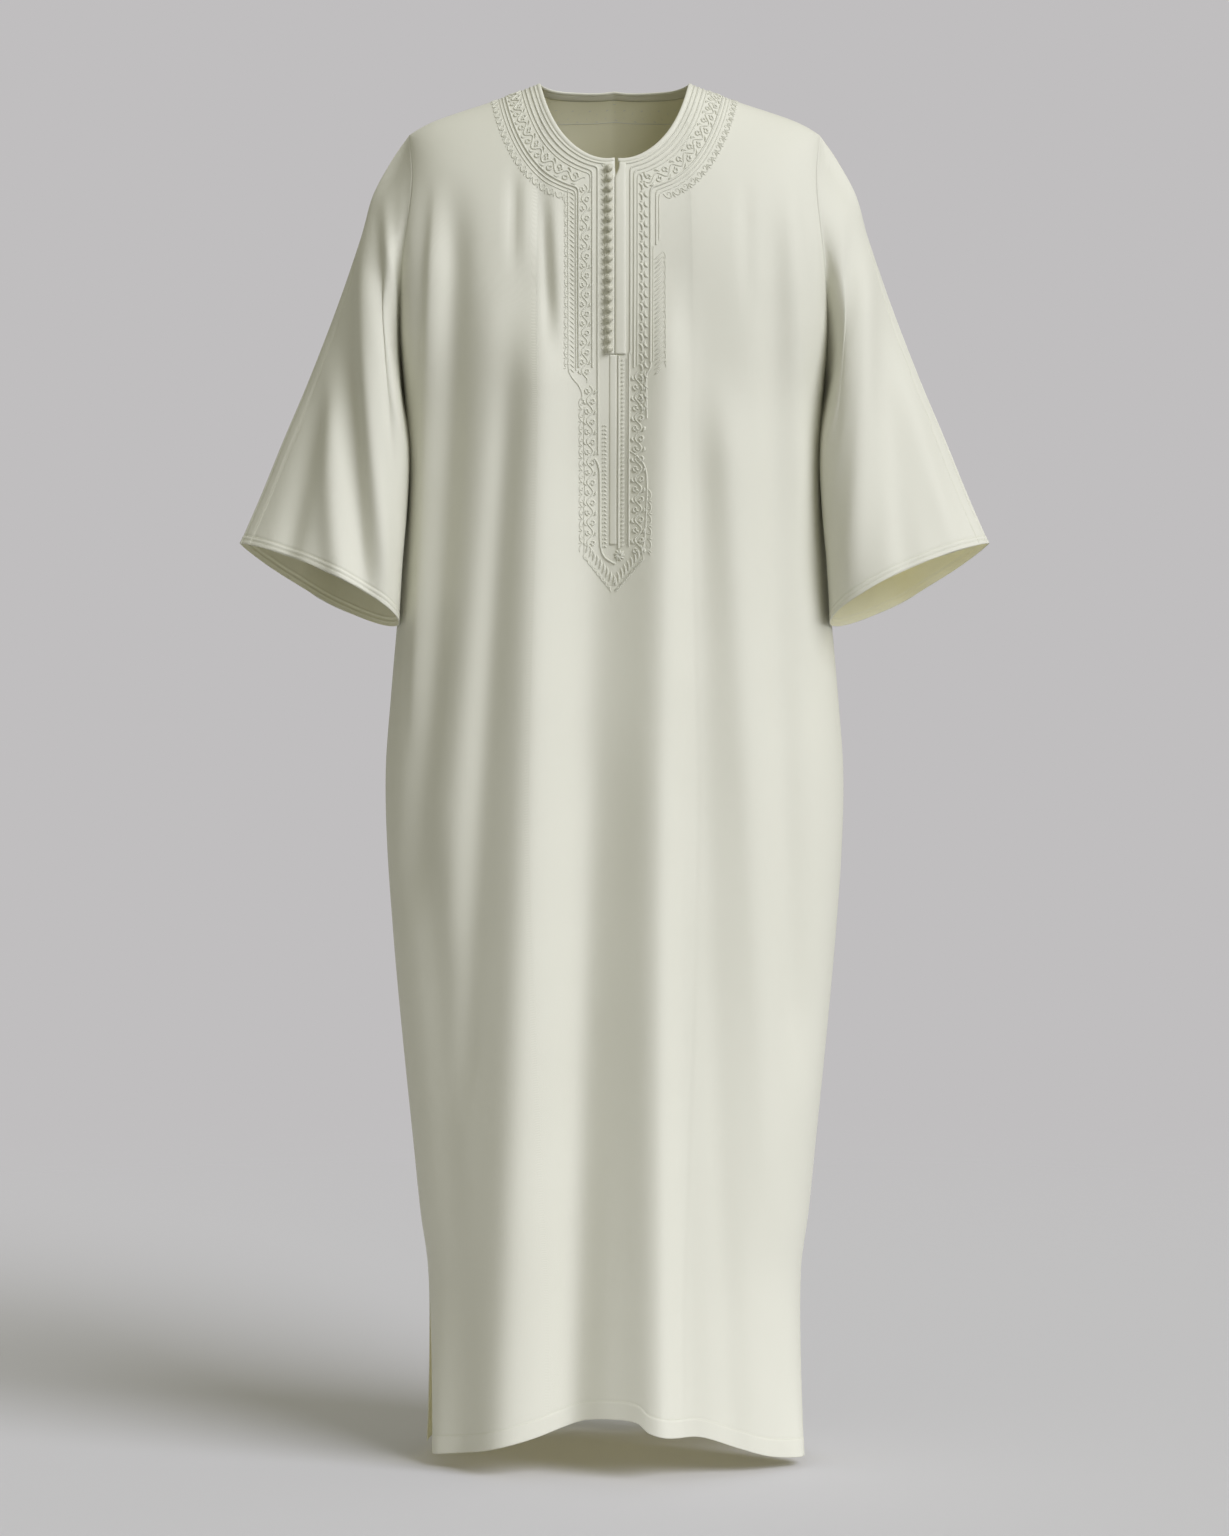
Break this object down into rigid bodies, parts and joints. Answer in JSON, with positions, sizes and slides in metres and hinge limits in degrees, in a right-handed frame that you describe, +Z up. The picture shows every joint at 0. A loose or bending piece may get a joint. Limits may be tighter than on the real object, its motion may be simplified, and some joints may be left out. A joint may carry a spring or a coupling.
{
  "type": "gandoura",
  "caption": "Long loose gandoura with wide half-length sleeves, a round neck, a knot-buttoned front slit and raised tone-on-tone embroidery.",
  "frame": {"origin": "middle of the neck opening, level with the points where the shoulder line meets the neck, which is where the wearer's shoulders or a hanger hold it", "axes": "+Z up, +Y towards the back, +X towards the right as seen from the front; the front faces -Y"},
  "size_m": [0.7794, 0.3084, 1.4333],
  "materials": {
    "cloth": "smooth ivory twill with a slight sheen",
    "cord": "raised tone-on-tone embroidery cord",
    "knots": "knotted silky cord"
  },
  "bodies": {
    "root": {"front_panel": "cloth", "back_panel": "cloth", "sleeve_front_right": "cloth", "sleeve_back_right": "cloth", "sleeve_front_left": "cloth", "sleeve_back_left": "cloth", "neck_binding": "cloth", "button_placket": "cloth", "loop_placket": "cloth", "neck_cord_inner": "cord", "neck_cord_outer": "cord", "centre_tape": "cord", "placket_cord_right": "cord", "placket_cord_left": "cord", "border_cord_right": "cord", "border_cord_left": "cord", "lower_cord_left": "cord", "lower_cord_middle": "cord", "lower_cord_right": "cord", "knot_button_01": "knots", "knot_button_02": "knots", "knot_button_03": "knots", "knot_button_04": "knots", "knot_button_05": "knots", "knot_button_06": "knots", "knot_button_07": "knots", "knot_button_08": "knots", "knot_button_09": "knots", "knot_button_10": "knots", "knot_button_11": "knots", "knot_button_12": "knots", "knot_button_13": "knots", "knot_button_14": "knots", "knot_button_15": "knots", "knot_button_16": "knots", "knot_button_17": "knots", "knot_button_18": "knots", "knot_button_19": "knots"}
  },
  "joints": []
}
